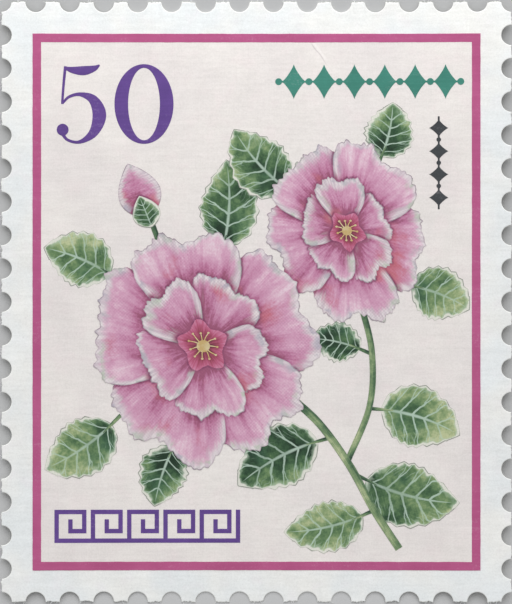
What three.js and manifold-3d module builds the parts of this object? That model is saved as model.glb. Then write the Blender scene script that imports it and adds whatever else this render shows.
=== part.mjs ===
// A gummed, perforated postage stamp lying face up, slightly curled.
// Millimetres, +X to the right and +Y to the top of the design, +Z up off the face.
// The origin is the middle of the back, on the surface that the stamp lies on.
import * as THREE from "three";
import { mergeVertices } from "three/addons/utils/BufferGeometryUtils.js";
import Module from "manifold-3d";

const wasm = await Module();
wasm.setup();

// ---- Driving dimensions ----

// The sheet: torn along its perforations, so each side is a whole number of hole pitches.
const PITCHES_ACROSS = 15;
const PITCHES_UP = 18;
const WIDTH = 22.5;
const HEIGHT = 26.5;
const HOLE_RADIUS = 0.445;

// What the sheet is made of, from the back to the face.
const GUM = 0.015;
const PAPER = 0.09;
const TINT = 0.01; // the panel's cream ink
const INK = 0.01; // every other ink
const PAPER_TOP = GUM + PAPER;
const TINT_TOP = PAPER_TOP + TINT;
const INK_TOP = TINT_TOP + INK;

// The curl: flat along the middle, then lifting to each side like part of a roll.
const FLAT_HALF = 3;
const LIFT_LEFT = 0.32;
const LIFT_RIGHT = 0.45;
const STRIP = 1.5; // width of the flat strips that the curl is made of
const STRIPS = 16;

// The printed frame.
const FRAME_INSET_X = 1.37;
const FRAME_INSET_Y = 1.4;
const FRAME_LINE = 0.37;
const FRAME_WIDTH = WIDTH - 2 * FRAME_INSET_X;
const FRAME_HEIGHT = HEIGHT - 2 * FRAME_INSET_Y;

// The numeral: two digits on one base line.
const DIGIT_HEIGHT = 3.52;
const DIGIT_BASE = 6.99;
const FIVE_LEFT = -8.98;
const FIVE_DRAWN_HEIGHT = 3.52; // the five's points below are for a digit of this height
const ZERO_MIDDLE = -4.97;
const ZERO = { outerX: 0.37, innerX: 0.2, innerY: 0.455 }; // half widths and heights, against its height

// Ornaments: stars and beads threaded on hairlines, and a Greek key.
// A star's hollow is how far its sides are drawn in, against its points.
const HAIRLINE = 0.08;
const STAR_BAND = { left: 0.98, right: 9.02, middle: 9.74, stars: 6 };
const BAND_STAR = { halfWidth: 0.52, halfHeight: 0.76, hollow: 0.6 };
const BAND_BEAD = 0.15;
const BEAD_COLUMN = { middle: 8.05, bottom: 4.1, top: 8.2, stars: 4 };
const COLUMN_STAR = { halfWidth: 0.42, halfHeight: 0.38, hollow: 0.62 };
const COLUMN_BEAD = 0.1;
const KEY_BAND = { left: -8.92, right: -0.72, bottom: -10.64, height: 1.46, keys: 5, line: 0.19 };
const KEY_FAR = 0.76; // where a key turns down, against its width
const KEY_NEAR = 0.38; // where its inner end stands

// The spray. Angles are in degrees, anticlockwise from +X.
const BLOSSOMS = [
  {
    name: "lower",
    at: [-2.35, -1.95],
    reach: 5.35,
    turn: 98,
    lean: 215,
    squash: 0.88,
    rings: [
      { name: "inner_petal", share: 0.6, turn: 34 },
      { name: "outer_petal", share: 1, turn: 0 },
    ],
  },
  {
    name: "upper",
    at: [4.0, 3.15],
    reach: 4.05,
    turn: 58,
    lean: 30,
    squash: 0.84,
    rings: [
      { name: "inner_petal", share: 0.58, turn: 38 },
      { name: "outer_petal", share: 1, turn: 0 },
    ],
  },
];
const PETALS = 5;
const PETAL_SPREAD = 46; // half of the angle that a petal fills
const PETAL_STEPS = 22;
const PETAL_FULLNESS = 3.2; // the higher, the squarer its shoulders
const PETAL_VARIES = 0.05; // how much longer or shorter one petal is than the next
const DIP = { depth: 0.09, width: 0.17 }; // the notch in the middle of the rim
const RIM_WAVE = { height: 0.026, count: 10 };
// Against the blossom's reach: the eye's radius, and how far the stamens' points and hollows stand out.
const EYE_SHARE = 0.2;
const EYE_LOBES = 0.16;
const STAMENS = 11;
const STAMEN_POINT = 0.135;
const STAMEN_HOLLOW = 0.065;

const BUD = { at: [-4.75, 3.75], heading: 112, length: 2.55, width: 1.9, bend: 0 };
const CALYX = { at: [-4.62, 3.3], heading: 112, length: 1.5, width: 1.25, bend: 0 };
// A leaf starts with its stalk, and its heading is the one half way along its blade.
const LEAVES = [
  { at: [-6.0, -5.0], heading: 214, length: 3.6, width: 2.3, bend: -22 },
  { at: [-3.4, -5.9], heading: 252, length: 2.8, width: 1.9, bend: 18 },
  { at: [3.25, -6.0], heading: 209, length: 4.1, width: 2.5, bend: 26 },
  { at: [5.2, -9.2], heading: 192, length: 3.6, width: 2.0, bend: -24 },
  { at: [4.35, -7.6], heading: 346, length: 4.3, width: 2.6, bend: 26 },
  { at: [4.95, -4.7], heading: 342, length: 3.7, width: 2.5, bend: -26 },
  { at: [5.1, -2.3], heading: 168, length: 2.3, width: 1.5, bend: 22 },
  { at: [6.3, 0.8], heading: 338, length: 2.8, width: 2.1, bend: -24 },
  { at: [5.3, 5.9], heading: 78, length: 2.5, width: 1.9, bend: 22 },
  { at: [1.9, 4.6], heading: 132, length: 3.7, width: 2.3, bend: -26 },
  { at: [-1.6, 1.9], heading: 88, length: 3.9, width: 2.3, bend: 24 },
  { at: [-6.0, 0.9], heading: 158, length: 3.2, width: 2.2, bend: 24 },
];
const LEAF_TEETH = 8;
const TOOTH_DEPTH = 0.12;
const BLADE_WIDEST = 0.8; // under 1, a blade is widest before its middle
const BLADE_FULLNESS = 0.85; // under 1, it is rounder than a sine's arch
const STALK = 0.55;
const STALK_INSIDE = 0.5; // how far the stalk runs up the blade, against its own length
const STALK_WIDTH = 0.17;
const STEMS = [
  { name: "main_stem", width: 0.34, through: [[6.3, -10.9], [5.2, -9.2], [4.1, -7.2], [2.8, -5.4], [1.4, -4.1]] },
  { name: "upper_stem", width: 0.27, through: [[4.0, -7.1], [5.0, -4.6], [5.1, -2.2], [4.6, 0]] },
  { name: "bud_stem", width: 0.24, through: [[-4.0, 1.6], [-4.3, 2.6], [-4.62, 3.5]] },
];

// ---- Solids ----

const WELD = 1e-5; // corners closer than this are one
const OVERSIZE = 2; // layers are made this much longer than the sheet, and then cut
const CUTTER = { bottom: -1, depth: 3 };

const radians = THREE.MathUtils.degToRad;

// A closed geometry as a manifold solid.
function solid(geometry) {
  geometry.deleteAttribute("normal");
  geometry.deleteAttribute("uv");
  const merged = mergeVertices(geometry, WELD);
  return new wasm.Manifold(
    new wasm.Mesh({
      numProp: 3,
      vertProperties: merged.attributes.position.array,
      triVerts: new Uint32Array(merged.index.array),
    }),
  );
}

// A manifold solid as a geometry.
function geometryOf(made) {
  const mesh = made.getMesh();
  const geometry = new THREE.BufferGeometry();
  geometry.setAttribute("position", new THREE.BufferAttribute(mesh.vertProperties, 3));
  geometry.setIndex(new THREE.BufferAttribute(mesh.triVerts, 1));
  return geometry;
}

// How far the curl lifts the sheet off the surface at this place across it.
function lift(x) {
  const past = Math.max(0, Math.abs(x) - FLAT_HALF) / (WIDTH / 2 - FLAT_HALF);
  return (x < 0 ? LIFT_LEFT : LIFT_RIGHT) * past * past;
}

// All that lies between two heights in the sheet, following the curl.
function layer(bottom, top) {
  const slab = new THREE.BoxGeometry(STRIP * STRIPS, HEIGHT + OVERSIZE, top - bottom, STRIPS, 1, 1);
  slab.translate(0, 0, (bottom + top) / 2);
  const place = slab.attributes.position;
  for (let i = 0; i < place.count; i++) place.setZ(i, place.getZ(i) + lift(place.getX(i)));
  return solid(slab);
}

// A tall column over a flat outline, for cutting shapes out of a layer.
function column(shape, curveSegments = 4) {
  const tall = new THREE.ExtrudeGeometry(shape, { depth: CUTTER.depth, bevelEnabled: false, curveSegments });
  return solid(tall.translate(0, 0, CUTTER.bottom));
}

// ---- The perforated outline ----

// Anticlockwise from the lower left corner. Each side runs from one corner hole to the next.
function perforatedOutline() {
  const outline = new THREE.Shape();
  const corners = [[-1, -1], [1, -1], [1, 1], [-1, 1]];
  corners.forEach(([cx, cy], side) => {
    const angle = (side * Math.PI) / 2;
    const along = new THREE.Vector2(Math.cos(angle), Math.sin(angle));
    const start = new THREE.Vector2((cx * WIDTH) / 2, (cy * HEIGHT) / 2);
    const upright = side % 2 === 1;
    const teeth = upright ? PITCHES_UP : PITCHES_ACROSS;
    const pitch = (upright ? HEIGHT : WIDTH) / teeth;
    for (let tooth = 0; tooth < teeth; tooth++) {
      const hole = start.clone().addScaledVector(along, tooth * pitch);
      const from = tooth === 0 ? angle + Math.PI / 2 : angle + Math.PI;
      outline.absarc(hole.x, hole.y, HOLE_RADIUS, from, angle, true);
    }
  });
  return outline;
}

// ---- Flat shapes ----

function rectangle(left, bottom, right, top) {
  return new THREE.Shape([
    new THREE.Vector2(left, bottom),
    new THREE.Vector2(right, bottom),
    new THREE.Vector2(right, top),
    new THREE.Vector2(left, top),
  ]);
}

function disc(x, y, radius) {
  const shape = new THREE.Shape();
  shape.absarc(x, y, radius, 0, 2 * Math.PI, false);
  return shape;
}

// A stroke through points [x, y, half width], thick and thin as a pen makes it.
function stroke(points, steps) {
  const curve = new THREE.CatmullRomCurve3(points.map((p) => new THREE.Vector3(...p)), false, "centripetal");
  const left = [];
  const right = [];
  for (let i = 0; i <= steps; i++) {
    const at = curve.getPoint(i / steps);
    const way = curve.getTangent(i / steps);
    const side = new THREE.Vector2(-way.y, way.x).normalize().multiplyScalar(at.z);
    left.unshift(new THREE.Vector2(at.x + side.x, at.y + side.y));
    right.push(new THREE.Vector2(at.x - side.x, at.y - side.y));
  }
  return new THREE.Shape([...right, ...left]);
}

// A four-pointed star with hollow sides.
function star(x, y, { halfWidth, halfHeight, hollow }) {
  const points = [];
  for (let i = 0; i < 8; i++) {
    const share = i % 2 === 0 ? 1 : hollow;
    const angle = (i * Math.PI) / 4;
    const point = new THREE.Vector2(halfWidth * Math.cos(angle), halfHeight * Math.sin(angle));
    points.push(point.multiplyScalar(share).add(new THREE.Vector2(x, y)));
  }
  return new THREE.Shape(points);
}

function joined(columns) {
  return columns.reduce((all, next) => all.add(next));
}

// ---- Nodes ----

const INKS = {
  paper: { color: 0xeff1f0, roughness: 0.85 },
  gum: { color: 0xe9e6d8, roughness: 0.35 },
  cream: { color: 0xece6e0, roughness: 0.8 },
  magenta: { color: 0xb9558b, roughness: 0.6 },
  violet: { color: 0x5f3f8e, roughness: 0.6 },
  teal: { color: 0x46917f, roughness: 0.6 },
  grey: { color: 0x3a3f44, roughness: 0.6 },
  rose: { color: 0xd593b8, roughness: 0.6 },
  pink: { color: 0xc97aa6, roughness: 0.6 },
  crimson: { color: 0xa84668, roughness: 0.6 },
  straw: { color: 0xe8d9a0, roughness: 0.6 },
  green: { color: 0x5f8a4f, roughness: 0.6 },
};

const stamp = new THREE.Group();

function addNode(name, made, ink) {
  const material = new THREE.MeshStandardMaterial({ ...INKS[ink], metalness: 0 });
  const mesh = new THREE.Mesh(geometryOf(made), material);
  mesh.name = name;
  stamp.add(mesh);
}

// ---- The sheet ----

const sheetColumn = column(perforatedOutline());
addNode("gum", layer(0, GUM).intersect(sheetColumn), "gum");
addNode("paper", layer(GUM, PAPER_TOP).intersect(sheetColumn), "paper");

// ---- Frame and panel ----

const frameX = FRAME_WIDTH / 2;
const frameY = FRAME_HEIGHT / 2;
const panelX = frameX - FRAME_LINE;
const panelY = frameY - FRAME_LINE;
const frameColumn = column(rectangle(-frameX, -frameY, frameX, frameY));
const panelColumn = column(rectangle(-panelX, -panelY, panelX, panelY));
addNode("frame_line", layer(PAPER_TOP, INK_TOP).intersect(frameColumn.subtract(panelColumn)), "magenta");
addNode("panel_tint", layer(PAPER_TOP, TINT_TOP).intersect(panelColumn), "cream");

// Every ink inside the panel lies on the tint.
const inkLayer = layer(TINT_TOP, INK_TOP);
function print(name, area, ink) {
  addNode(name, inkLayer.intersect(area), ink);
}

// ---- Numeral ----

function digitFive(left, base, height) {
  const unit = height / FIVE_DRAWN_HEIGHT;
  const placed = (points) => points.map(([x, y, half]) => [left + x * unit, base + y * unit, half * unit]);
  const bowl = placed([
    [0.4, 1.78, 0.05],
    [0.72, 2.08, 0.06],
    [1.22, 2.18, 0.09],
    [1.78, 1.93, 0.21],
    [2.04, 1.26, 0.3],
    [1.78, 0.5, 0.2],
    [1.2, 0.09, 0.08],
    [0.66, 0.16, 0.06],
    [0.36, 0.5, 0.08],
  ]);
  const stem = placed([[0.4, 1.76, 0.05], [0.46, 2.6, 0.055], [0.54, 3.42, 0.06]]);
  const flag = placed([
    [0.5, 3.36, 0.05],
    [0.85, 3.26, 0.14],
    [1.35, 3.23, 0.2],
    [1.8, 3.33, 0.13],
    [2.05, 3.48, 0.03],
  ]);
  const ball = disc(left + 0.42 * unit, base + 0.62 * unit, 0.26 * unit);
  const strokes = [stroke(bowl, 26), stroke(stem, 2), stroke(flag, 10)];
  return joined([...strokes.map((shape) => column(shape)), column(ball, 6)]);
}

function digitZero(middle, base, height) {
  const shape = new THREE.Shape();
  const centre = base + height / 2;
  shape.absellipse(middle, centre, ZERO.outerX * height, height / 2, 0, 2 * Math.PI, false);
  const inside = new THREE.Path();
  inside.absellipse(middle, centre, ZERO.innerX * height, ZERO.innerY * height, 0, 2 * Math.PI, true);
  shape.holes.push(inside);
  return column(shape, 16);
}

print("numeral_five", digitFive(FIVE_LEFT, DIGIT_BASE, DIGIT_HEIGHT), "violet");
print("numeral_zero", digitZero(ZERO_MIDDLE, DIGIT_BASE, DIGIT_HEIGHT), "violet");

// ---- Ornaments ----

function starBand({ left, right, middle, stars }) {
  const pitch = (right - left) / stars;
  const parts = [column(rectangle(left, middle - HAIRLINE / 2, right, middle + HAIRLINE / 2))];
  for (let i = 0; i < stars; i++) {
    parts.push(column(star(left + (i + 0.5) * pitch, middle, BAND_STAR)));
  }
  for (let i = 0; i <= stars; i++) parts.push(column(disc(left + i * pitch, middle, BAND_BEAD)));
  return joined(parts);
}

function beadColumn({ middle, bottom, top, stars }) {
  const pitch = (top - bottom) / stars;
  const parts = [column(rectangle(middle - HAIRLINE / 2, bottom, middle + HAIRLINE / 2, top))];
  for (let i = 0; i < stars; i++) {
    parts.push(column(star(middle, bottom + (i + 0.5) * pitch, COLUMN_STAR)));
    if (i > 0) parts.push(column(disc(middle, bottom + i * pitch, COLUMN_BEAD)));
  }
  return joined(parts);
}

// Each key turns inwards and back out to the next.
function keyBand({ left, right, bottom, height, keys, line }) {
  const wide = (right - left - line) / keys;
  const parts = [];
  const bar = (x0, y0, x1, y1) => {
    const half = line / 2;
    const low = [Math.min(x0, x1) - half, Math.min(y0, y1) - half];
    const high = [Math.max(x0, x1) + half, Math.max(y0, y1) + half];
    parts.push(column(rectangle(...low, ...high)));
  };
  const foot = bottom + line / 2;
  const head = bottom + height - line / 2;
  const step = (head - foot) / 3;
  for (let key = 0; key < keys; key++) {
    const x = left + line / 2 + key * wide;
    const turns = [
      [x, foot],
      [x, head],
      [x + KEY_FAR * wide, head],
      [x + KEY_FAR * wide, foot + step],
      [x + KEY_NEAR * wide, foot + step],
      [x + KEY_NEAR * wide, head - step],
    ];
    for (let i = 1; i < turns.length; i++) bar(...turns[i - 1], ...turns[i]);
    bar(x, foot, x + wide, foot);
  }
  bar(right - line / 2, foot, right - line / 2, head);
  return joined(parts);
}

print("star_band", starBand(STAR_BAND), "teal");
print("bead_column", beadColumn(BEAD_COLUMN), "grey");
print("key_band", keyBand(KEY_BAND), "violet");

// ---- Blossoms, leaves and stems ----

// Blossoms are seen from a little to one side, so they are squashed along their lean.
function placeOnBlossom(radius, angle, blossom) {
  const middle = new THREE.Vector2();
  const point = new THREE.Vector2(radius, 0).rotateAround(middle, angle - radians(blossom.lean));
  point.x *= blossom.squash;
  point.rotateAround(middle, radians(blossom.lean));
  return point.add(new THREE.Vector2(...blossom.at));
}

// A petal fans out from the middle of its blossom. Its rim waves, and dips in the middle.
function petalShape(blossom, ring, petal) {
  const reach = blossom.reach * ring.share * (1 + PETAL_VARIES * Math.sin(2.4 * petal + blossom.turn));
  const turn = blossom.turn + ring.turn + (petal * 360) / PETALS;
  const points = [];
  for (let i = 0; i < PETAL_STEPS; i++) {
    const across = -1 + (2 * i) / PETAL_STEPS;
    const body = Math.cos((Math.PI / 2) * Math.abs(across) ** PETAL_FULLNESS) ** 0.5;
    const dip = 1 - DIP.depth * Math.exp(-((across / DIP.width) ** 2));
    const wave = 1 + RIM_WAVE.height * Math.sin(RIM_WAVE.count * across + 1.7 * petal);
    const angle = radians(turn + PETAL_SPREAD * across);
    points.push(placeOnBlossom(reach * body * dip * wave, angle, blossom));
  }
  return new THREE.Shape(points);
}

function eyeShape(blossom) {
  const points = [];
  const steps = 4 * PETALS;
  for (let i = 0; i < steps; i++) {
    const angle = (i / steps) * 2 * Math.PI;
    const radius = EYE_SHARE * blossom.reach * (1 + EYE_LOBES * Math.cos(PETALS * angle));
    points.push(placeOnBlossom(radius, angle + radians(blossom.turn), blossom));
  }
  return new THREE.Shape(points);
}

// The stamens stand out from the middle as the rays of a star.
function stamenShape(blossom) {
  const points = [];
  for (let i = 0; i < 2 * STAMENS; i++) {
    const radius = blossom.reach * (i % 2 === 0 ? STAMEN_POINT : STAMEN_HOLLOW);
    points.push(placeOnBlossom(radius, (i * Math.PI) / STAMENS, blossom));
  }
  return new THREE.Shape(points);
}

// The point this far from another, on this heading.
function ahead(point, degrees, distance) {
  const step = new THREE.Vector2(distance, 0).rotateAround(new THREE.Vector2(), radians(degrees));
  return step.add(new THREE.Vector2(...point));
}

// A blade along a bent midrib, with a toothed edge.
function bladeShape({ at, heading, length, width, bend }, teeth = LEAF_TEETH, depth = TOOTH_DEPTH) {
  const steps = 2 * teeth;
  const upper = [];
  const lower = [];
  let point = new THREE.Vector2(...at);
  for (let i = 0; i <= steps; i++) {
    const along = i / steps;
    const turned = heading + bend * (along - 0.5);
    if (i > 0) point = ahead(point, turned, length / steps);
    const way = radians(turned);
    const tooth = i % 2 === 1 && i < steps - 1 ? depth : 0;
    const half = (width / 2) * Math.sin(Math.PI * along ** BLADE_WIDEST) ** BLADE_FULLNESS + tooth;
    const side = new THREE.Vector2(-Math.sin(way), Math.cos(way)).multiplyScalar(half);
    upper.unshift(point.clone().add(side));
    if (i > 0 && i < steps) lower.push(point.clone().sub(side));
  }
  return new THREE.Shape([...lower, ...upper]);
}

function leafArea(leaf) {
  const start = leaf.heading - leaf.bend / 2;
  const foot = ahead(leaf.at, start, STALK);
  const inside = ahead(leaf.at, start, (1 + STALK_INSIDE) * STALK);
  const stalk = [[...leaf.at, STALK_WIDTH / 2], [inside.x, inside.y, STALK_WIDTH / 2]];
  return joined([column(bladeShape({ ...leaf, at: foot.toArray() })), column(stroke(stalk, 1))]);
}

// From the front of the spray to its back: what lies behind is cut by what is before it.
let covered = null;
function printBehind(name, area, ink) {
  print(name, covered ? area.subtract(covered) : area, ink);
  covered = covered ? covered.add(area) : area;
}

for (const blossom of BLOSSOMS) {
  printBehind(`${blossom.name}_stamens`, column(stamenShape(blossom)), "straw");
  printBehind(`${blossom.name}_eye`, column(eyeShape(blossom)), "crimson");
  for (const ring of blossom.rings) {
    for (let petal = 0; petal < PETALS; petal++) {
      const name = `${blossom.name}_${ring.name}_${petal + 1}`;
      printBehind(name, column(petalShape(blossom, ring, petal)), ring.share < 1 ? "pink" : "rose");
    }
  }
}
printBehind("calyx", column(bladeShape(CALYX, 4, 0)), "green");
printBehind("bud", column(bladeShape(BUD, 6, 0)), "rose");
for (const stem of STEMS) {
  const line = stem.through.map(([x, y]) => [x, y, stem.width / 2]);
  printBehind(stem.name, column(stroke(line, 8)), "green");
}
LEAVES.forEach((leaf, i) => printBehind(`leaf_${i + 1}`, leafArea(leaf), "green"));

export default stamp;
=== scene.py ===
"""A gummed, perforated postage stamp with a printed spray of double blossoms, lying face up on a table."""

import math
import random
from collections import namedtuple

import bmesh
import bpy
from mathutils import Matrix, Vector, kdtree, noise


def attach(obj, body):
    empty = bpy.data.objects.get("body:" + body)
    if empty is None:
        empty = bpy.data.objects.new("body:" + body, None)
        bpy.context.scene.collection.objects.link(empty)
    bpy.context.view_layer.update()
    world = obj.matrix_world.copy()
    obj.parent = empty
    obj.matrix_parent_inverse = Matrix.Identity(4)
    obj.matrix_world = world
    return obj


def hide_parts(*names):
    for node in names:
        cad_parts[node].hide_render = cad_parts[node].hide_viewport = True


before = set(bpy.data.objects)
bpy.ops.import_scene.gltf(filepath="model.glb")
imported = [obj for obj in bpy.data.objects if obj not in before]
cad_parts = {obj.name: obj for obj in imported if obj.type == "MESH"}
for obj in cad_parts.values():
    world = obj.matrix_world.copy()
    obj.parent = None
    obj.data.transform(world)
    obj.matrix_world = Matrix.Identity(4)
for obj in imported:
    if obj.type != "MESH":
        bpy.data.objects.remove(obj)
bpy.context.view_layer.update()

# ---- Sizes, in millimetres. +X is to the right of the design, +Y to its top, +Z off its face ----

MM = 0.001

# The sheet, torn along its perforations, and its layers from the back to the face.
PITCHES_ACROSS = 15
PITCHES_UP = 18
WIDTH = 22.5
HEIGHT = 26.5
HALF_WIDTH = WIDTH / 2
HALF_HEIGHT = HEIGHT / 2
HOLE_RADIUS = 0.445
GUM_TOP = 0.015
PAPER_TOP = 0.105
TINT_TOP = 0.115
INK_TOP = 0.125

# The curl: flat along the middle, then lifting to each side.
FLAT_HALF = 3
LIFT_LEFT = 0.32
LIFT_RIGHT = 0.45
STRIP = 0.25  # width of the strips that the curl is bent from

# The sheet's edge: punched by pins, rounded and torn at its tips.
PIN_SIDES = 40
PIN_VARIES = 0.015  # against its size
BURR = 0.04  # the rounding of the upper rims
TIP_ZONE = 0.045  # how close to the sheet's edge a torn tip starts
TEAR_CUTS = 7
TEAR_SHORTEST = 0.05  # a side shorter than this isn't cut
TEAR_COARSE = 0.05
TEAR_FINE = 0.035
TEAR_BACK = 0.01  # how far a tip is worn back as a whole

# The fibres that stand out of a torn tip.
FIBRES_AT_TIP = (3, 4, 5)
FIBRE_ROOT = 0.05  # how far inside the edge one starts
FIBRE_SPREAD = 0.28  # how far from the middle of its tip it may stand
FIBRE_LEAN = 38  # degrees
FIBRE_SIZES = (0.45, 1.15)
FIBRE_THICKNESS = 0.007
FIBRE_COVER = 0.01  # the paper left over and under it

# The printed frame.
FRAME_X = HALF_WIDTH - 1.37
FRAME_Y = HALF_HEIGHT - 1.4
FRAME_LINE = 0.37
FRAME_WAVER = 0.01
TINT_UNDER_FRAME = 0.06  # how far the cream ink runs under the line

# The numeral: two digits on one base line.
DIGIT_HEIGHT = 3.52
DIGIT_BASE = 6.99
FIVE_LEFT = -8.98
ZERO_MIDDLE = -4.97
ZERO_OUTER = (0.37, 0.5)  # half widths and heights, against its height
ZERO_INNER = (0.2, 0.455)

# Ornaments: stars and beads threaded on hairlines, and a Greek key.
HAIRLINE = 0.08
STAR_HOLLOW = 2.4  # over 1, a star's sides are drawn in between its points
STAR_BAND = {
    "ends": [(0.98, 9.74), (9.02, 9.74)],
    "stars": 6,
    "star": (0.52, 0.76),
    "star_sides": 48,
    "bead": 0.15,
    "end_beads": True,
}
BEAD_COLUMN = {
    "ends": [(8.05, 4.1), (8.05, 8.2)],
    "stars": 4,
    "star": (0.42, 0.38),
    "star_sides": 40,
    "bead": 0.1,
    "end_beads": False,
}
BEAD_SIDES = 28
KEY_BAND = {"left": -8.92, "right": -0.72, "bottom": -10.64, "height": 1.46, "keys": 5, "line": 0.19}
KEY_FAR = 0.76  # where a key turns down, against its width
KEY_NEAR = 0.38  # where its inner end stands

# The spray. Angles are in degrees, anticlockwise from +X.
# A blossom leans to one side, and looks squashed along its lean.
# A ring of petals is its name, its share of the blossom's reach and its turn.
Blossom = namedtuple("Blossom", "name at reach turn lean squash rings")
OUTER_RING = ("outer_petal", 1.0, 0)
BLOSSOMS = [
    Blossom("lower", (-2.35, -1.95), 5.35, 98, 215, 0.88, [("inner_petal", 0.6, 34), OUTER_RING]),
    Blossom("upper", (4.0, 3.15), 4.05, 58, 30, 0.84, [("inner_petal", 0.58, 38), OUTER_RING]),
]
PETALS = 5
PETAL_FACES = {"inner_petal": 20, "outer_petal": 26}  # from the heart to the rim
PETAL_TONE = 0.13  # the first petal's, which sets the run of its streaks
TONE_STEP = 0.17
PETAL_SPREAD = 46  # half of the angle that a petal fills
PETAL_STEPS = 132
PETAL_FULLNESS = 3.2  # the higher, the squarer its shoulders
PETAL_VARIES = 0.05  # how much longer or shorter one petal is than the next
DIP = {"depth": 0.09, "width": 0.17}  # the notch in the middle of the rim
RIM_WAVE = {"height": 0.026, "count": 10}
RUFFLE = {"broad": 0.045, "small": 0.02, "pleated": 0.022}  # how high, against the petal's reach
# Against the blossom's reach: the eye's radius, the stamens' length and the disc that they stand on.
EYE_SHARE = 0.2
STAMEN_SHARE = 0.135
DISC_SHARE = (0.055, 0.05)
EYE_LOBES = 0.16  # against the eye's radius
EYE_UNEVEN = 0.05
STAMENS = 11
SHORTEST_STAMEN = 0.82  # against the longest
STAMEN_BEND = 9  # degrees
ANTHER = (0.055, 0.045)  # half of its width and height

# A blade: where it starts, its heading half way along, its length, its width and how far it bends.
BUD = ((-4.75, 3.75), 112, 2.55, 1.9, 0)
CALYX = ((-4.62, 3.3), 112, 1.5, 1.25, 0)
# A leaf starts with its stalk. Its last number is how light it is painted, from 0, dark, to 1.
LEAVES = [
    ((-6.0, -5.0), 214, 3.6, 2.3, -22, 0.35),
    ((-3.4, -5.9), 252, 2.8, 1.9, 18, 0.1),
    ((3.25, -6.0), 209, 4.1, 2.5, 26, 0.0),
    ((5.2, -9.2), 192, 3.6, 2.0, -24, 0.55),
    ((4.35, -7.6), 346, 4.3, 2.6, 26, 0.3),
    ((4.95, -4.7), 342, 3.7, 2.5, -26, 0.75),
    ((5.1, -2.3), 168, 2.3, 1.5, 22, 0.1),
    ((6.3, 0.8), 338, 2.8, 2.1, -24, 0.6),
    ((5.3, 5.9), 78, 2.5, 1.9, 22, 0.35),
    ((1.9, 4.6), 132, 3.7, 2.3, -26, 0.2),
    ((-1.6, 1.9), 88, 3.9, 2.3, 24, 0.45),
    ((-6.0, 0.9), 158, 3.2, 2.2, 24, 0.65),
]
LEAF_TEETH = 8
TOOTH_DEPTH = 0.12
LEAF_OUTLINE = 0.07  # the pencilled outline stands this far outside the green
BLADE_STEPS = 96
BLADE_WIDEST = 0.8  # under 1, a blade is widest before its middle
BLADE_FULLNESS = 0.85  # under 1, it is rounder than a sine's arch
STALK = 0.55  # its length outside the blade, and inside it too
STALK_WIDTH = 0.17
STEMS = [
    ("main_stem", [(6.3, -10.9), (5.2, -9.2), (4.1, -7.2), (2.8, -5.4), (1.4, -4.1)], 0.34),
    ("upper_stem", [(4.0, -7.1), (5.0, -4.6), (5.1, -2.2), (4.6, 0.0)], 0.27),
    ("bud_stem", [(-4.0, 1.6), (-4.3, 2.6), (-4.62, 3.5)], 0.24),
]

CREASE = ((2.36, 11.5), (3.2, 10.4))

SUNK = 0.003  # how deep the ink goes into the paper
FOOT = 0.005  # how far a film's foot spreads past its edge
SPRAY_OVER_TINT = 0.002
FILM_STEP = 0.0005  # each film of the spray lies this much over the one behind it
FRONT_FILM = 54  # how many such steps up its front film lies
HAIR = 0.0004  # parts of one piece that cross lie a few of these apart
SAME_POINT = 0.0003
FAR_OFF = 5.0  # the greatest distance noted from what lies over a piece


def curl(x):
    past = max(0.0, abs(x) - FLAT_HALF) / (HALF_WIDTH - FLAT_HALF)
    return (LIFT_LEFT if x < 0 else LIFT_RIGHT) * past * past


def lift(x):
    """How far the sheet is lifted at this place across it: straight within each strip."""
    strip, share = divmod(x / STRIP, 1)
    return curl(strip * STRIP) * (1 - share) + curl((strip + 1) * STRIP) * share


def direction(degrees):
    return Vector((math.cos(math.radians(degrees)), math.sin(math.radians(degrees))))


# ---- Modelling by hand ----


def deselect_all():
    for piece in bpy.context.selected_objects:
        piece.select_set(False)


def pick(piece):
    deselect_all()
    piece.select_set(True)
    bpy.context.view_layer.objects.active = piece


def edit(piece, select="DESELECT"):
    """Starts editing a piece, with nothing in it selected unless asked, and gives its mesh."""
    pick(piece)
    bpy.ops.object.mode_set(mode="EDIT")
    bpy.ops.mesh.select_all(action=select)
    mesh = bmesh.from_edit_mesh(piece.data)
    mesh.verts.ensure_lookup_table()
    return mesh


def stop_editing():
    bpy.ops.object.mode_set(mode="OBJECT")


def name_piece(piece, name):
    piece.name = name
    piece.data.name = name
    return piece


def size_and_move(piece, size, place=(0, 0, 0)):
    """Sizes a piece's mesh about the origin and moves it."""
    edit(piece, "SELECT")
    bpy.ops.transform.resize(value=size, center_override=(0, 0, 0))
    bpy.ops.transform.translate(value=place)
    stop_editing()


def lay_on_curl(piece, level=0.0):
    """Raises a flat piece to its level over the curled sheet's back."""
    for vert in piece.data.vertices:
        vert.co.z += level + lift(vert.co.x)


def set_height(piece, height):
    for vert in piece.data.vertices:
        vert.co.z = height


def apply_modifier(piece, kind, **settings):
    pick(piece)
    modifier = piece.modifiers.new(kind.lower(), kind)
    for name, value in settings.items():
        setattr(modifier, name, value)
    bpy.ops.object.modifier_apply(modifier=modifier.name)


def join(pieces, name):
    """Several pieces as one."""
    pick(pieces[0])
    for piece in pieces[1:]:
        piece.select_set(True)
    bpy.ops.object.join()
    return name_piece(pieces[0], name)


def copy_to(piece, x, y, turn=0.0, size=1.0):
    """A copy with its own mesh, sized and turned about the origin, then moved."""
    made = bpy.data.objects.new(piece.name, piece.data.copy())
    bpy.context.collection.objects.link(made)
    turned = Matrix.Rotation(turn, 4, "Z") @ Matrix.Scale(size, 4)
    made.matrix_world = Matrix.Translation((x, y, 0)) @ turned
    bpy.context.view_layer.update()
    pick(made)
    bpy.ops.object.transform_apply(location=True, rotation=True, scale=True)
    return made


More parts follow.
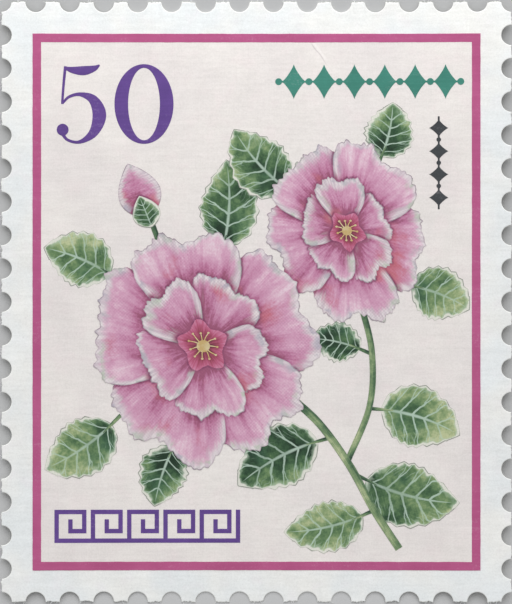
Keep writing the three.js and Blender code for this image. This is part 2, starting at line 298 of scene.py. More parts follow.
def lay_rows(name, rows, faces_across):
    """A sheet of faces whose rows are laid one after another, each from its start to its end.

    Points that meet become one, so a row of no length is a tip, and a last row on the first closes the sheet.
    """
    deselect_all()
    bpy.ops.mesh.primitive_grid_add(x_subdivisions=faces_across, y_subdivisions=len(rows) - 1, size=1)
    piece = bpy.context.object
    mesh = edit(piece)
    count = faces_across + 1
    for i, (start, end) in enumerate(rows):
        along = Vector(end) - Vector(start)
        middle = (Vector(end) + Vector(start)) / 2
        row = mesh.verts[i * count : (i + 1) * count]
        for vert in row:
            vert.select = True
        mesh.select_flush_mode()
        at = Vector((0, row[0].co.y, 0))
        bpy.ops.transform.resize(value=(along.length, 1, 1), center_override=at)
        bpy.ops.transform.rotate(value=-math.atan2(along.y, along.x), orient_axis="Z", center_override=at)
        bpy.ops.transform.translate(value=(middle.x, middle.y - at.y, 0))
        for vert in row:
            vert.select = False
        mesh.select_flush_mode()
    bpy.ops.mesh.select_all(action="SELECT")
    bpy.ops.mesh.remove_doubles(threshold=SAME_POINT)
    stop_editing()
    # Rows laid clockwise leave the sheet face down.
    if sum(face.normal.z * face.area for face in piece.data.polygons) < 0:
        piece.data.flip_normals()
    return name_piece(piece, name)


def smooth_line(points, steps):
    """Points along a smooth line through the given ones, each with its numbers blended too."""
    before = [2 * a - b for a, b in zip(points[0], points[1])]
    after = [2 * a - b for a, b in zip(points[-1], points[-2])]
    through = [before, *points, after]
    line = []
    for i in range(steps + 1):
        place = i / steps * (len(points) - 1)
        k = min(int(place), len(points) - 2)
        t = place - k
        shares = (-t + 2 * t**2 - t**3, 2 - 5 * t**2 + 3 * t**3, t + 4 * t**2 - 3 * t**3, t**3 - t**2)
        line.append([sum(n * s for n, s in zip(numbers, shares)) / 2 for numbers in zip(*through[k : k + 4])])
    return line


def lay_stroke(name, points, steps, faces_across=2):
    """A stroke through points of x, y and half width, thick and thin as a pen makes it."""
    line = smooth_line(points, steps)
    rows = []
    for i, (x, y, half) in enumerate(line):
        before = line[max(i - 1, 0)]
        after = line[min(i + 1, steps)]
        way = Vector((after[0] - before[0], after[1] - before[1])).normalized()
        side = Vector((-way.y, way.x)) * half
        rows.append((Vector((x, y)) + side, Vector((x, y)) - side))
    return lay_rows(name, rows, faces_across)


def flat_round(name, sides, x, y, reach_x, reach_y, hollow=1.0):
    """A flat oval. Where hollow is over 1, its sides are drawn in between four points, as a star's are."""
    deselect_all()
    bpy.ops.mesh.primitive_circle_add(vertices=sides, radius=1, fill_type="NGON")
    piece = bpy.context.object
    for vert in piece.data.vertices:
        for axis in (0, 1):
            vert.co[axis] = math.copysign(abs(vert.co[axis]) ** hollow, vert.co[axis])
    size_and_move(piece, (reach_x, reach_y, 1), (x, y, 0))
    return name_piece(piece, name)


def flat_bar(name, left, bottom, right, top):
    deselect_all()
    bpy.ops.mesh.primitive_plane_add(size=1)
    piece = bpy.context.object
    size_and_move(piece, (right - left, top - bottom, 1), ((left + right) / 2, (bottom + top) / 2, 0))
    return name_piece(piece, name)


def bisect_at(places, axis):
    """Cuts what is being edited at each place along an axis."""
    for place in places:
        bpy.ops.mesh.select_all(action="SELECT")
        at = [0, 0, 0]
        normal = [0, 0, 0]
        at[axis] = place
        normal[axis] = 1
        bpy.ops.mesh.bisect(plane_co=at, plane_no=normal)


def strips_between(low, high):
    """The places where the curl bends, clear of both ends."""
    return [k * STRIP for k in range(math.ceil(low / STRIP + 0.01), math.floor(high / STRIP - 0.01) + 1)]


def cut_in_strips(piece):
    """Cuts a piece where the curl bends."""
    xs = [vert.co.x for vert in piece.data.vertices]
    edit(piece)
    bisect_at(strips_between(min(xs), max(xs)), axis=0)
    bpy.ops.mesh.select_all(action="SELECT")
    bpy.ops.mesh.remove_doubles(threshold=SAME_POINT)
    stop_editing()


def outline_points(piece, spacing=0.04):
    """Points close together along the outline of a flat sheet."""
    mesh = bmesh.new()
    mesh.from_mesh(piece.data)
    points = []
    for side in mesh.edges:
        if side.is_boundary:
            start, end = side.verts[0].co, side.verts[1].co
            steps = max(1, math.ceil((end - start).length / spacing))
            points += [start.lerp(end, i / steps).to_2d().to_3d() for i in range(steps)]
    mesh.free()
    return points


def nearest(points):
    tree = kdtree.KDTree(len(points))
    for i, point in enumerate(points):
        tree.insert(point, i)
    tree.balance()
    return tree


def note(piece, name, values):
    """Writes a number for each corner point of the piece, for its paint to read."""
    layer = piece.data.attributes.new(name, "FLOAT", "POINT")
    layer.data.foreach_set("value", values)


made_pieces = []


def hand_over(piece, paint, *nodes):
    """Turns a finished piece to metres and gives it its paint and its place in the frame."""
    size_and_move(piece, (MM, MM, MM))
    # The curl is smooth, and every edge sharper than its strips stays crisp.
    pick(piece)
    bpy.ops.object.shade_smooth_by_angle(angle=math.radians(8))
    piece.data.materials.clear()
    piece.data.materials.append(paints[paint])
    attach(piece, "root")
    if nodes:
        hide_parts(*nodes)
    made_pieces.append(piece)


def spread_foot(piece):
    """Slants the sides of a film outwards to their foot, as ink thins out at its edge."""
    mesh = edit(piece)
    for vert in mesh.verts:
        sides = [face.normal for face in vert.link_faces if abs(face.normal.z) < 0.5]
        if sides and any(face.normal.z < -0.5 for face in vert.link_faces):
            outwards = sum(sides, Vector())
            vert.co += Vector((outwards.x, outwards.y, 0)).normalized() * FOOT
    bmesh.update_edit_mesh(piece.data)
    stop_editing()


def print_film(piece, level, paint, node):
    """Lays a flat sheet on the curl at its level, thickens it down into the paper and hands it over."""
    lay_on_curl(piece, level)
    apply_modifier(piece, "SOLIDIFY", thickness=level - PAPER_TOP + SUNK, offset=-1.0, use_even_offset=False)
    spread_foot(piece)
    hand_over(piece, paint, node)


# ---- Nodes, written as arithmetic ----


def tint(code):
    """A colour from its web code, as light."""
    parts = [int(code[i : i + 2], 16) / 255 for i in (1, 3, 5)]
    return (*[c / 12.92 if c <= 0.04045 else ((c + 0.055) / 1.055) ** 2.4 for c in parts], 1.0)


class Signal:
    """What comes out of a node. Signals are added, subtracted, multiplied and divided as numbers are."""

    def __init__(self, socket):
        self.socket = socket
        self.tree = socket.id_data

    def beside(self, name):
        """What comes out of another socket of the same node."""
        return Signal(self.socket.node.outputs[name])

    def __add__(self, other):
        return maths("ADD", self, other)

    def __sub__(self, other):
        return maths("SUBTRACT", self, other)

    def __mul__(self, other):
        return maths("MULTIPLY", self, other)

    def __truediv__(self, other):
        return maths("DIVIDE", self, other)

    def __abs__(self):
        return maths("ABSOLUTE", self)

    __radd__ = __add__


def feed(socket, value):
    """Links a signal to a socket, or sets the socket to a value or a colour's web code."""
    if isinstance(value, Signal):
        value.tree.links.new(value.socket, socket)
    else:
        socket.default_value = tint(value) if isinstance(value, str) else value


def put(tree, kind, values=None, out=0, **settings):
    """Adds a node, fed with the values, and gives the signal from one of its outputs."""
    made = tree.nodes.new("ShaderNode" + kind)
    for name, value in settings.items():
        setattr(made, name, value)
    for name, value in (values or {}).items():
        feed(made.inputs[name], value)
    return Signal(made.outputs[out])


def tree_of(*values):
    return next(value.tree for value in values if isinstance(value, Signal))


def node_of(tree, kind):
    """The node of a kind that a new tree comes with."""
    return next(node for node in tree.nodes if node.type == kind)


def maths(operation, *values):
    return put(tree_of(*values), "Math", dict(enumerate(values)), operation=operation)


def swing(value, amount):
    """A pattern of 0 to 1 as a swing of this amount either side of none."""
    return (value - 0.5) * amount


def between(value, low, high, shape="SMOOTHSTEP"):
    """0 up to low and 1 past high, or the other way round where low is the higher."""
    ends = {"Value": value, "From Min": low, "From Max": high}
    return put(value.tree, "MapRange", ends, interpolation_type=shape)


def fade(distance, length):
    """1 at no distance, falling away over this length."""
    return maths("EXPONENT", distance / -length)


def blend(share, first, second, way="MIX"):
    sides = {0: share, 6: first, 7: second}
    return put(tree_of(share, first, second), "Mix", sides, out=2, data_type="RGBA", blend_type=way)


def ramp(value, stops):
    """Colours by their places from 0 to 1."""
    made = put(value.tree, "ValToRGB", {"Fac": value}, out="Color")
    elements = made.socket.node.color_ramp.elements
    while len(elements) < len(stops):
        elements.new(0.5)
    for element, (place, code) in zip(elements, stops.items()):
        element.position = place
        element.color = tint(code)
    return made


def stretch(place, scale, shift=(0, 0, 0)):
    return put(place.tree, "Mapping", {"Vector": place, "Scale": scale, "Location": shift})


def move(place, x, y):
    return stretch(place, (1, 1, 1), (x, y, 0))


def turn(place, angle):
    return put(place.tree, "VectorRotate", {"Vector": place, "Angle": angle}, rotation_type="Z_AXIS")


def join_numbers(x, y, z=0.0):
    return put(x.tree, "CombineXYZ", {"X": x, "Y": y, "Z": z})


def split_numbers(vector):
    x = put(vector.tree, "SeparateXYZ", {"Vector": vector})
    return x, x.beside("Y"), x.beside("Z")


def cloud(place, scale, detail=2.0, roughness=0.5):
    """A cloudy pattern about 0.5."""
    values = {"Vector": place, "Scale": scale, "Detail": detail, "Roughness": roughness}
    return put(place.tree, "TexNoise", values)


def brightness(colour, value):
    """The colour made lighter or darker: a value of 1 leaves it as it is."""
    grey = put(value.tree, "CombineColor", {"Red": value, "Green": value, "Blue": value})
    return blend(1.0, colour, grey, "MULTIPLY")


def off_line(value):
    """How far a value is from the nearest line, with a line half way between whole numbers."""
    return abs(maths("FRACT", value) - 0.5)


# ---- Effects that several paints use ----

INPUT_KINDS = {type(None): "Vector", float: "Float", tuple: "Color"}
RELIEF_DEPTH = 0.01 * MM
DOT_PITCH = 0.105  # of the printer's screens
PINK_SCREEN = 0.79  # their angles, in radians
GREEN_SCREEN = 1.31


def effect(name, inputs, outputs):
    """A group of nodes. Its inputs are given with what they start from, and its outputs with their kinds.

    Gives the tree, a signal from each input, and the outputs' sockets.
    """
    tree = bpy.data.node_groups.new(name, "ShaderNodeTree")
    for label, start in inputs.items():
        kind = "NodeSocket" + INPUT_KINDS[type(start)]
        socket = tree.interface.new_socket(label, in_out="INPUT", socket_type=kind)
        if start is not None:
            socket.default_value = start
    for label, kind in outputs.items():
        tree.interface.new_socket(label, in_out="OUTPUT", socket_type="NodeSocket" + kind)
    given = tree.nodes.new("NodeGroupInput").outputs
    out = tree.nodes.new("NodeGroupOutput").inputs
    return tree, [Signal(given[label]) for label in inputs], out


def make_paper_tooth():
    """The paper's surface: cloudy formation, fibres mostly lying across, a fine tooth and a few specks."""
    outputs = {"Shade": "Float", "Height": "Float", "Speck": "Float"}
    tree, (place,), out = effect("paper_tooth", {"Place": None}, outputs)
    formation = cloud(place, 0.9, 3.0)
    across = cloud(stretch(place, (0.9, 6.5, 1.0)), 1.0, 3.0, 0.6)
    upright = cloud(stretch(place, (6.0, 1.1, 1.0), (7, 3, 0)), 1.0, 2.0)
    tooth = cloud(place, 13.0, 2.0, 0.7)
    shade = 0.5 + swing(formation, 0.7) + swing(across, 0.9) + swing(upright, 0.25) + swing(tooth, 1.3)
    feed(out["Shade"], shade)
    feed(out["Height"], across * 0.5 + upright * 0.2 + tooth * 0.8)
    cells = put(tree, "TexVoronoi", {"Vector": place, "Scale": 0.5}, out="Color")
    chosen = between(put(tree, "SeparateColor", {"Color": cells}), 0.84, 0.86)
    feed(out["Speck"], between(cells.beside("Distance"), 0.026, 0.012) * chosen)
    return tree


def make_dot_screen():
    """The printer's screen: rows of fine dots at an angle, from 0 between them to 1 at their middles."""
    tree, (place, angle), out = effect("dot_screen", {"Place": None, "Angle": 0.0}, {"Dots": "Float"})
    x, y, _ = split_numbers(turn(place, angle))
    waves = [maths("COSINE", way * (2 * math.pi / DOT_PITCH)) for way in (x, y)]
    feed(out["Dots"], 0.5 + (waves[0] + waves[1]) * 0.25)
    return tree


def make_petal_wash():
    """Watercolour of a petal: streaked, deep at its heart and where it is overlapped, with a pale rim."""
    tree, (place, outwards, across, overlap, rim, tone, deep), out = effect(
        "petal_wash",
        {"Place": None, "Outwards": 0.5, "Across": 0.0, "Overlap": 3.0, "Rim": 1.0, "Tone": 0.5, "Deep": 0.5},
        {"Color": "Color"},
    )
    follow = join_numbers(outwards * 1.6, across * 9.0, tone * 31.0)
    streaks = between(cloud(follow, 1.6, 4.0, 0.62), 0.28, 0.72, "LINEAR")
    threads = between(cloud(stretch(follow, (1.2, 3.4, 1.0)), 2.0, 3.0, 0.6), 0.3, 0.7, "LINEAR")
    pools = between(cloud(place, 0.55, 3.0), 0.3, 0.7)
    grain = cloud(place, 8.0, 3.0, 0.7)
    folds = between(cloud(join_numbers(outwards, across * 36.0, tone * 17.0), 1.0, 2.0), 0.38, 0.6)

    shadow = fade(overlap, 0.62) * (0.72 + streaks * 0.45)
    depth = (
        deep * 0.5
        + between(outwards, 0.95, 0.1) * 0.34
        + shadow * 0.55
        + swing(streaks, 0.34)
        + swing(threads, 0.14)
        + swing(pools, 0.34)
        + swing(grain, 0.5)
        + folds * fade(rim, 0.3) * 0.36
    )
    pinks = {0.0: "#ead8e2", 0.2: "#e2bfd0", 0.42: "#d4a2bd", 0.62: "#c98fae", 0.8: "#ba7599", 1.0: "#9d5876"}
    wash = ramp(depth, pinks)
    # A warmer pink has run into some of the washes.
    warm = between(cloud(move(place, 11, 5), 0.5, 3.0), 0.52, 0.68) * between(depth, 0.3, 0.8)
    wash = blend(warm * 0.75, wash, "#c9707c")

    # The rim is left nearly white, ragged along the strokes, shaded in its folds and greyed here and there.
    ragged = (0.08 + streaks * 0.38 + threads * 0.26 + folds * 0.14) * (0.4 + pools * 0.9)
    white = between(rim, ragged, ragged * 0.25) * between(overlap, 0.02, 0.35)
    wash = blend(white * 0.86, wash, blend(folds * 0.5, "#e6e2e2", "#b9a9b8"))
    ruffle = between(cloud(place, 2.1, 2.0), 0.52, 0.66) * between(rim, 0.5, 0.05)
    cool = blend(between(cloud(place, 0.4, 1.0), 0.42, 0.58), "#b9c4b3", "#aea9b8")
    wash = blend(ruffle * 0.75, wash, cool)

    # Fine pencil along the outline, broken, and a dark line where another petal lies over this one.
    touch = between(cloud(place, 1.7, 2.0), 0.42, 0.6)
    wash = blend(between(rim, 0.055, 0.02) * (0.25 + touch * 0.5), wash, "#8d7f8b")
    wash = blend(between(overlap, 0.12, 0.02) * (0.3 + touch * 0.55), wash, "#7b3c5f")
    feed(out["Color"], wash)
    return tree


def make_leaf_wash():
    """Watercolour of a leaf: dark under the blossoms, yellower outwards, with pale veins and a white rim."""
    tree, (place, along, across, overlap, rim, tone), out = effect(
        "leaf_wash",
        {"Place": None, "Along": 0.5, "Across": 0.0, "Overlap": 3.0, "Rim": 1.0, "Tone": 0.5},
        {"Color": "Color"},
    )
    pools = between(cloud(place, 0.8, 3.0, 0.55), 0.3, 0.7)
    strokes = between(cloud(place, 2.6, 4.0, 0.65), 0.3, 0.7, "LINEAR")
    grain = cloud(place, 8.0, 2.0, 0.65)
    side = abs(across)
    depth = (
        0.66
        + fade(overlap, 0.9) * 0.42
        + tone * -0.42
        + between(side, 0.15, 1.0) * -0.24
        + between(along, 0.25, 1.0) * -0.14
        + swing(pools, 0.46)
        + swing(strokes, 0.34)
        + swing(grain, 0.3)
    )
    greens = {0.0: "#bfc79b", 0.2: "#95a97a", 0.4: "#6c8a5e", 0.6: "#4a6b48", 0.8: "#2f4f35", 1.0: "#1a3322"}
    wash = ramp(depth, greens)
    blue = between(cloud(move(place, 3, 9), 0.7, 2.0), 0.5, 0.7)
    wash = blend(blue * 0.3, wash, "#46725a")

    # The midrib, and side veins that lean forwards, waver and fork. None starts close to the tip.
    waver = swing(cloud(place, 1.6, 2.0), 0.5)
    midrib = between(side, 0.035 + between(along, 1.0, 0.0, "LINEAR") * 0.06, 0.015)
    lines = along * 6.5 - side * 1.35 + waver
    width = 0.035 + between(side, 1.0, 0.0, "LINEAR") * 0.055
    veins = between(off_line(lines), width * 1.35, width * 0.6)
    past = maths("MAXIMUM", side - 0.4, 0.0)
    forks = between(off_line(lines + past * 0.8), width, width * 0.35) * between(side, 0.4, 0.5)
    veins = maths("MAXIMUM", veins, forks * 0.8) * between(lines, 5.15, 4.95)
    twigs = between(off_line(along * 19.0 - side * 6.0 + waver * 3.0), 0.13, 0.05) * between(side, 0.3, 0.8)
    twigs = twigs * between(cloud(place, 2.2, 1.0), 0.45, 0.62)
    pale = maths("MAXIMUM", maths("MAXIMUM", midrib, veins), twigs * 0.5)
    pale = pale * (0.5 + pools * 0.35) * between(along, 0.96, 0.84)
    wash = blend(pale, wash, "#bdd4c4")

    # The rim is left white with a little mint, inside a wavering pencilled outline.
    lumps = between(cloud(move(place, 2, 6), 1.9, 2.0), 0.4, 0.64)
    edge = 0.03 + strokes * 0.06 + lumps * 0.09
    wash = blend(between(rim, edge * 2.2, edge) * 0.5, wash, "#b6ccb3")
    white = between(rim, edge * 1.2, edge * 0.7) * between(overlap, 0.02, 0.2)
    wash = blend(white * 0.9, wash, "#e7e6dd")
    touch = between(cloud(place, 1.3, 2.0), 0.42, 0.58)
    wash = blend(between(rim, 0.028 + touch * 0.03, 0.012) * (0.3 + touch * 0.6), wash, "#7f867c")
    feed(out["Color"], wash)
    return tree


def make_ink_body():
    """A solid line ink: a little denser in places, and worn thin to the paper's tooth in others."""
    black = (0.0, 0.0, 0.0, 1.0)
    inputs = {"Place": None, "Shade": 0.5, "Ink": black, "Dense": black, "Streaks": 0.5}
    tree, (place, shade, ink, dense, streaks), out = effect("ink_body", inputs, {"Color": "Color"})
    pools = between(cloud(place, 0.5, 3.0, 0.6), 0.32, 0.68)
    rollers = between(cloud(stretch(place, (0.35, 9.0, 1.0)), 1.0, 2.0), 0.35, 0.65)
    share = pools * 0.5 + rollers * streaks * 0.6 + swing(cloud(place, 5.0, 3.0, 0.6), 0.5)
    body = blend(between(share, 0.0, 1.0, "LINEAR"), ink, dense)
    feed(out["Color"], blend(between(shade, 0.6, 1.0) * 0.1, body, "#e4dde4"))
    return tree


paper_tooth = make_paper_tooth()
dot_screen = make_dot_screen()
petal_wash = make_petal_wash()
leaf_wash = make_leaf_wash()
ink_body = make_ink_body()

# ---- Paints ----


class Paint:
    """A paint being mixed: its shader, its place in millimetres and the paper's tooth under it."""

    def __init__(self, name):
        self.material = bpy.data.materials.new(name)
        self.material.use_nodes = True
        self.tree = self.material.node_tree
        self.shader = node_of(self.tree, "BSDF_PRINCIPLED")
        self.place = stretch(put(self.tree, "TexCoord", out="Object"), (1 / MM, 1 / MM, 1 / MM))
        self.shade = put(self.tree, "Group", {"Place": self.place}, out="Shade", node_tree=paper_tooth)
        self.height = self.shade.beside("Height")
        self.speck = self.shade.beside("Speck")

    def noted(self, name):
        return put(self.tree, "Attribute", out="Fac", attribute_name=name)

    def along_and_across(self):
        """The two ways over a laid sheet: from row to row, and from a row's start to its end."""
        across, along, _ = split_numbers(put(self.tree, "UVMap", uv_map="UVMap"))
        return along, across

    def washed(self, wash, **places):
        """The colour of a wash, told where it is on its piece."""
        noted = {name: self.noted(name.lower()) for name in ("Overlap", "Rim", "Tone")}
        return put(self.tree, "Group", {"Place": self.place, **noted, **places}, node_tree=wash)

    def screened(self, colour, angle, amount):
        """The colour broken into the printer's dots, more openly in some places than in others."""
        dots = put(self.tree, "Group", {"Place": self.place, "Angle": angle}, node_tree=dot_screen)
        open_places = between(cloud(self.place, 0.6, 1.0), 0.4, 0.68)
        return brightness(colour, 1.0 + (dots - 0.5) * (0.3 + open_places) * amount)

    def finish(self, colour, roughness, gloss=0.5, grain=0.1, relief=0.35, height=None):
        feed(self.shader.inputs["Base Color"], brightness(colour, 1.0 + swing(self.shade, grain)))
        feed(self.shader.inputs["Roughness"], roughness)
        feed(self.shader.inputs["Specular IOR Level"], gloss)
        bump = {"Height": height or self.height, "Strength": relief, "Distance": RELIEF_DEPTH}
        feed(self.shader.inputs["Normal"], put(self.tree, "Bump", bump))
        return self.material


def mix_paper():
    """Cool white, with faint warmer and bluer clouds."""
    paint = Paint("stamp_paper")
    body = blend(between(cloud(paint.place, 0.35, 3.0), 0.35, 0.65), "#edf1f2", "#f3f3f0")
    blush = between(cloud(move(paint.place, 5, 2), 1.4, 2.0), 0.5, 0.75)
    body = blend(blush * 0.35, body, "#f1edf1")
    body = blend(paint.speck * 0.3, body, "#a9aaa8")
    # The tilted faces at the rims of the holes are painted whiter: partly the raw fibres that the pins leave,
    # partly a painted highlight.
    facing = split_numbers(put(paint.tree, "NewGeometry", out="True Normal"))[2]
    body = blend(between(facing, 0.97, 0.9), body, "#fdfdfa")
    return paint.finish(body, 0.85, gloss=0.25, grain=0.2, relief=0.5)


def mix_gum():
    """Dried gum: thin, a little glossy, with the fine ripples that keep it from curling more."""
    paint = Paint("dried_gum")
    pools = between(cloud(paint.place, 0.6, 3.0), 0.35, 0.65)
    cells = {"Vector": paint.place, "Scale": 0.9}
    crack = between(put(paint.tree, "TexVoronoi", cells, feature="DISTANCE_TO_EDGE"), 0.03, 0.0)
    body = blend(crack * 0.35, blend(pools, "#e9e8de", "#e2dfce"), "#cfcab5")
    ripple = cloud(paint.place, 2.5, 2.0) * 0.7 - crack * 0.5
    return paint.finish(body, 0.22 + pools * 0.14, grain=0.03, relief=0.6, height=ripple)


def mix_cream_tint():
    """The panel: warm cream, printed so thin that the paper's fibres show."""
    paint = Paint("cream_tint")
    body = blend(between(cloud(paint.place, 0.28, 3.0, 0.55), 0.3, 0.7), "#efeae6", "#e9e3e1")
    blush = between(cloud(move(paint.place, 4, 8), 1.2, 3.0), 0.45, 0.75)
    body = paint.screened(blend(blush * 0.4, body, "#efe3e3"), 0.0, 0.02)
    body = blend(paint.speck * 0.4, body, "#a39a98")

    # A short crease from handling, painted flat: a painted shadow along one side of it and a painted
    # highlight along the other.
    start, end = (Vector(point) for point in CREASE)
    run = end - start
    along, across, _ = split_numbers(turn(move(paint.place, -start.x, -start.y), -math.atan2(run.y, run.x)))
    across = across + swing(cloud(paint.place, 1.4, 2.0), 0.35)
    inside = between(along, 0.0, 0.25) * between(along, run.length, run.length - 0.5)
    body = blend(between(abs(across + 0.02), 0.05, 0.0) * inside * 0.5, body, "#b9b2b4")
    body = blend(between(abs(across - 0.09), 0.09, 0.0) * inside * 0.4, body, "#fbf8f5")
    return paint.finish(body, 0.8, gloss=0.25, grain=0.18, relief=0.5)


def mix_ink(name, ink, dense, streaks=0.4):
    paint = Paint(name)
    values = {"Place": paint.place, "Shade": paint.shade, "Ink": ink, "Dense": dense, "Streaks": streaks}
    body = put(paint.tree, "Group", values, node_tree=ink_body)
    return paint.finish(body, 0.55, gloss=0.35, grain=0.06, relief=0.3)


def mix_petal(name, deep):
    paint = Paint(name)
    along, across = paint.along_and_across()
    body = paint.washed(petal_wash, Outwards=across, Across=along, Deep=deep)
    return paint.finish(paint.screened(body, PINK_SCREEN, 0.16), 0.62, gloss=0.3)


def mix_leaf():
    paint = Paint("leaf_green")
    along, across = paint.along_and_across()
    body = paint.washed(leaf_wash, Along=along, Across=swing(across, 2.0))
    return paint.finish(paint.screened(body, GREEN_SCREEN, 0.14), 0.62, gloss=0.3)


def mix_stem():
    """A stem is streaked along its length, darker down one side and under what lies over it."""
    paint = Paint("stem_green")
    along, across = paint.along_and_across()
    streaks = cloud(join_numbers(along * 7.0, across * 6.0), 1.0, 4.0, 0.65)
    depth = (
        0.24
        + between(across, 0.25, 1.0) * 0.32
        + fade(paint.noted("overlap"), 0.5) * 0.5
        + swing(between(streaks, 0.3, 0.7, "LINEAR"), 0.5)
        + swing(between(cloud(paint.place, 1.1, 3.0), 0.3, 0.7), 0.45)
        + swing(cloud(paint.place, 7.0, 2.0, 0.65), 0.4)
    )
    body = ramp(depth, {0.0: "#b9c298", 0.35: "#839b6f", 0.7: "#4c6e4c", 1.0: "#234230"})
    touch = between(cloud(paint.place, 1.5, 2.0), 0.4, 0.6)
    line = between(abs(swing(across, 2.0)), 0.8, 0.95) * (0.2 + touch * 0.6)
    return paint.finish(paint.screened(blend(line, body, "#6f7d6c"), GREEN_SCREEN, 0.08), 0.62)


def mix_eye():
    """The crimson eye of a blossom, darkest round the stamens."""
    paint = Paint("crimson_eye")
    around, outwards = paint.along_and_across()
    streaks = cloud(join_numbers(outwards * 1.2, around * 60.0), 1.0, 3.0, 0.6)
    depth = (
        0.2
        + between(outwards, 1.0, 0.25) * 0.5
        + fade(paint.noted("overlap"), 0.12) * 0.35
        + swing(between(streaks, 0.3, 0.7, "LINEAR"), 0.5)
        + swing(between(cloud(paint.place, 2.4, 3.0), 0.3, 0.7), 0.25)
    )
    body = ramp(depth, {0.0: "#cf86a6", 0.35: "#b9597c", 0.7: "#9a3f58", 1.0: "#6d2c3f"})
    return paint.finish(paint.screened(body, PINK_SCREEN, 0.08), 0.6, grain=0.08, relief=0.3)


def mix_stamens():
    paint = Paint("straw_stamens")
    body = blend(between(cloud(paint.place, 3.5, 2.0), 0.35, 0.65), "#efe3b4", "#dcc07e")
    body = blend(between(paint.noted("rim"), 0.02, 0.005) * 0.35, body, "#8f6a48")
    return paint.finish(body, 0.6, grain=0.06, relief=0.3)


paints = {
    "paper": mix_paper(),
    "gum": mix_gum(),
    "cream_ink": mix_cream_tint(),
    "magenta_ink": mix_ink("magenta_line", "#bd5a8b", "#ae4d7d"),
    "violet_ink": mix_ink("violet_ink", "#674795", "#553a80"),
    "teal_ink": mix_ink("teal_ink", "#418b7c", "#34796b"),
    "grey_ink": mix_ink("dark_grey_ink", "#3f4347", "#2f3135", streaks=0.3),
    "rose_ink": mix_petal("rose_petal", 0.5),
    "pink_ink": mix_petal("pink_petal", 0.72),
    "straw_ink": mix_stamens(),
    "crimson_ink": mix_eye(),
    "green_ink": mix_leaf(),
    "stem_ink": mix_stem(),
}

# ---- The sheet: gum and paper ----


def hole_places():
    places = []
    for i in range(PITCHES_ACROSS):
        x = -HALF_WIDTH + i * WIDTH / PITCHES_ACROSS
        places += [(x, -HALF_HEIGHT), (-x, HALF_HEIGHT)]
    for i in range(PITCHES_UP):
        y = -HALF_HEIGHT + i * HEIGHT / PITCHES_UP
        places += [(HALF_WIDTH, y), (-HALF_WIDTH, -y)]
    return places


def perforating_pins():
    """One pin, copied to every hole with a slight difference in its turn and size."""
    deselect_all()
    bpy.ops.mesh.primitive_cylinder_add(vertices=PIN_SIDES, radius=HOLE_RADIUS, depth=2)
    pin = bpy.context.object
    chance = random.Random(8)
    copies = []
    for x, y in hole_places():
        turned = chance.uniform(0, 6.28)
        copies.append(copy_to(pin, x, y, turned, chance.uniform(1 - PIN_VARIES, 1 + PIN_VARIES)))
    bpy.data.objects.remove(pin)
    return join(copies, "pins")


def way_out(point):
    """Which way is out of the sheet at a torn tip, and nothing where the place isn't on one."""
    if abs(point.x) > HALF_WIDTH - TIP_ZONE:
        return Vector((math.copysign(1, point.x), 0, 0))
    if abs(point.y) > HALF_HEIGHT - TIP_ZONE:
        return Vector((0, math.copysign(1, point.y), 0))
    return None


def tear_tips(piece):
    """Cuts the tips of the teeth into many short sides and pulls these in and out, as torn paper is."""
    mesh = edit(piece)
    for side in mesh.edges:
        start, end = (vert.co for vert in side.verts)
        level = abs(start.z - end.z) < 0.001
        torn = bool(way_out(start) and way_out(end))
        side.select = level and torn and side.calc_length() > TEAR_SHORTEST
    bpy.ops.mesh.subdivide(number_cuts=TEAR_CUTS)
    stop_editing()
    for vert in piece.data.vertices:
        outwards = way_out(vert.co)
        if outwards:
            x, y, z = vert.co
            coarse = noise.noise(Vector((x * 5, y * 5, 3.7)))
            fine = noise.noise(Vector((x * 19, y * 19, z * 12)))
            vert.co += outwards * (coarse * TEAR_COARSE + fine * TEAR_FINE - TEAR_BACK)


def round_rims(sheet, top):
    """Rounds the upper edge all round a sheet."""
    mesh = edit(sheet)
    for side in mesh.edges:
        walls = [face for face in side.link_faces if abs(face.normal.z) < 0.5]
        side.select = bool(walls) and all(vert.co.z > top - 0.001 for vert in side.verts)
    bpy.ops.mesh.bevel(offset=BURR, segments=3, affect="EDGES")
    stop_editing()


def perforated_sheet(name, bottom, top, rounded):
    """A sheet at its size, punched through by the pins, torn at the tips and cut where the curl bends."""
    deselect_all()
    bpy.ops.mesh.primitive_cube_add(size=1)
    sheet = bpy.context.object
    size_and_move(sheet, (WIDTH, HEIGHT, top - bottom), (0, 0, (bottom + top) / 2))
    pins = perforating_pins()
    apply_modifier(sheet, "BOOLEAN", operation="DIFFERENCE", solver="EXACT", object=pins)
    bpy.data.objects.remove(pins)
    if rounded:
        round_rims(sheet, top)
    cut_in_strips(sheet)
    tear_tips(sheet)
    lay_on_curl(sheet)
    return name_piece(sheet, name)


